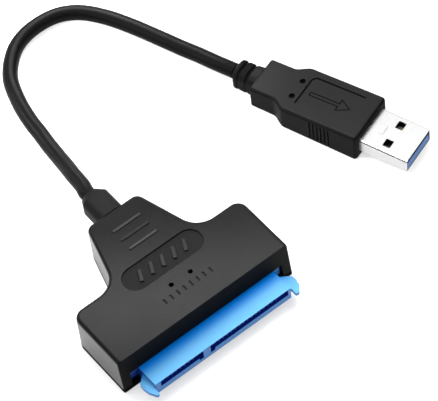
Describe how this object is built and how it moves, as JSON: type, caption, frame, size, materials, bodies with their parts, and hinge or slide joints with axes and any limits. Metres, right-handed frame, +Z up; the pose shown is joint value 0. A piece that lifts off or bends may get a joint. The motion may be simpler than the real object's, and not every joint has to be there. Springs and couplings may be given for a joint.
{
  "type": "usb to sata adapter",
  "caption": "T-shaped adapter housing with a wide drive data and power socket on its front, a short flexible cable and a flat USB plug.",
  "frame": {"origin": "bottom centre of the housing with its drive socket and cable boot, without the cable and plug", "axes": "+Z up from the surface it lies on, +X along the housing's long side, -Y out of the drive socket's mouth, +Y along the cable boot"},
  "size_m": [0.1037, 0.1159, 0.0124],
  "materials": {
    "black_plastic": "fine satin texture",
    "black_cable": "smooth satin",
    "sky_blue_plastic": "satin moulding",
    "usb_blue_plastic": "satin moulding",
    "plated_steel": "bright plated",
    "gold_plate": "plated",
    "green_board": "solder mask",
    "chip_black": "matt",
    "ferrite": "matt",
    "lamp_lens": "clear",
    "wire_red": "insulation"
  },
  "bodies": {
    "root": {"bridge_chip": "chip_black", "cable": "black_cable", "cable_boot": "black_cable", "capacitor_1": "plated_steel", "capacitor_2": "plated_steel", "circuit_board": "green_board", "crystal": "plated_steel", "flash_chip": "chip_black", "housing_base": "black_plastic", "housing_top": "black_plastic", "inductor": "ferrite", "plug_insulator": "usb_blue_plastic", "plug_overmould": "black_plastic", "plug_shell": "plated_steel", "power_contact_1": "gold_plate", "power_contact_10": "gold_plate", "power_contact_11": "gold_plate", "power_contact_12": "gold_plate", "power_contact_13": "gold_plate", "power_contact_14": "gold_plate", "power_contact_15": "gold_plate", "power_contact_2": "gold_plate", "power_contact_3": "gold_plate", "power_contact_4": "gold_plate", "power_contact_5": "gold_plate", "power_contact_6": "gold_plate", "power_contact_7": "gold_plate", "power_contact_8": "gold_plate", "power_contact_9": "gold_plate", "signal_contact_1": "gold_plate", "signal_contact_2": "gold_plate", "signal_contact_3": "gold_plate", "signal_contact_4": "gold_plate", "signal_contact_5": "gold_plate", "signal_contact_6": "gold_plate", "signal_contact_7": "gold_plate", "socket_insulator": "sky_blue_plastic", "status_lamp_1": "lamp_lens", "status_lamp_2": "lamp_lens", "usb_contact_1": "gold_plate", "usb_contact_2": "gold_plate", "usb_contact_3": "gold_plate", "usb_contact_4": "gold_plate", "usb_fast_contact_1": "gold_plate", "usb_fast_contact_2": "gold_plate", "usb_fast_contact_3": "gold_plate", "usb_fast_contact_4": "gold_plate", "usb_fast_contact_5": "gold_plate", "voltage_regulator": "chip_black", "wire_1": "wire_red", "wire_2": "wire_red", "wire_3": "wire_red", "wire_4": "wire_red"}
  },
  "joints": []
}
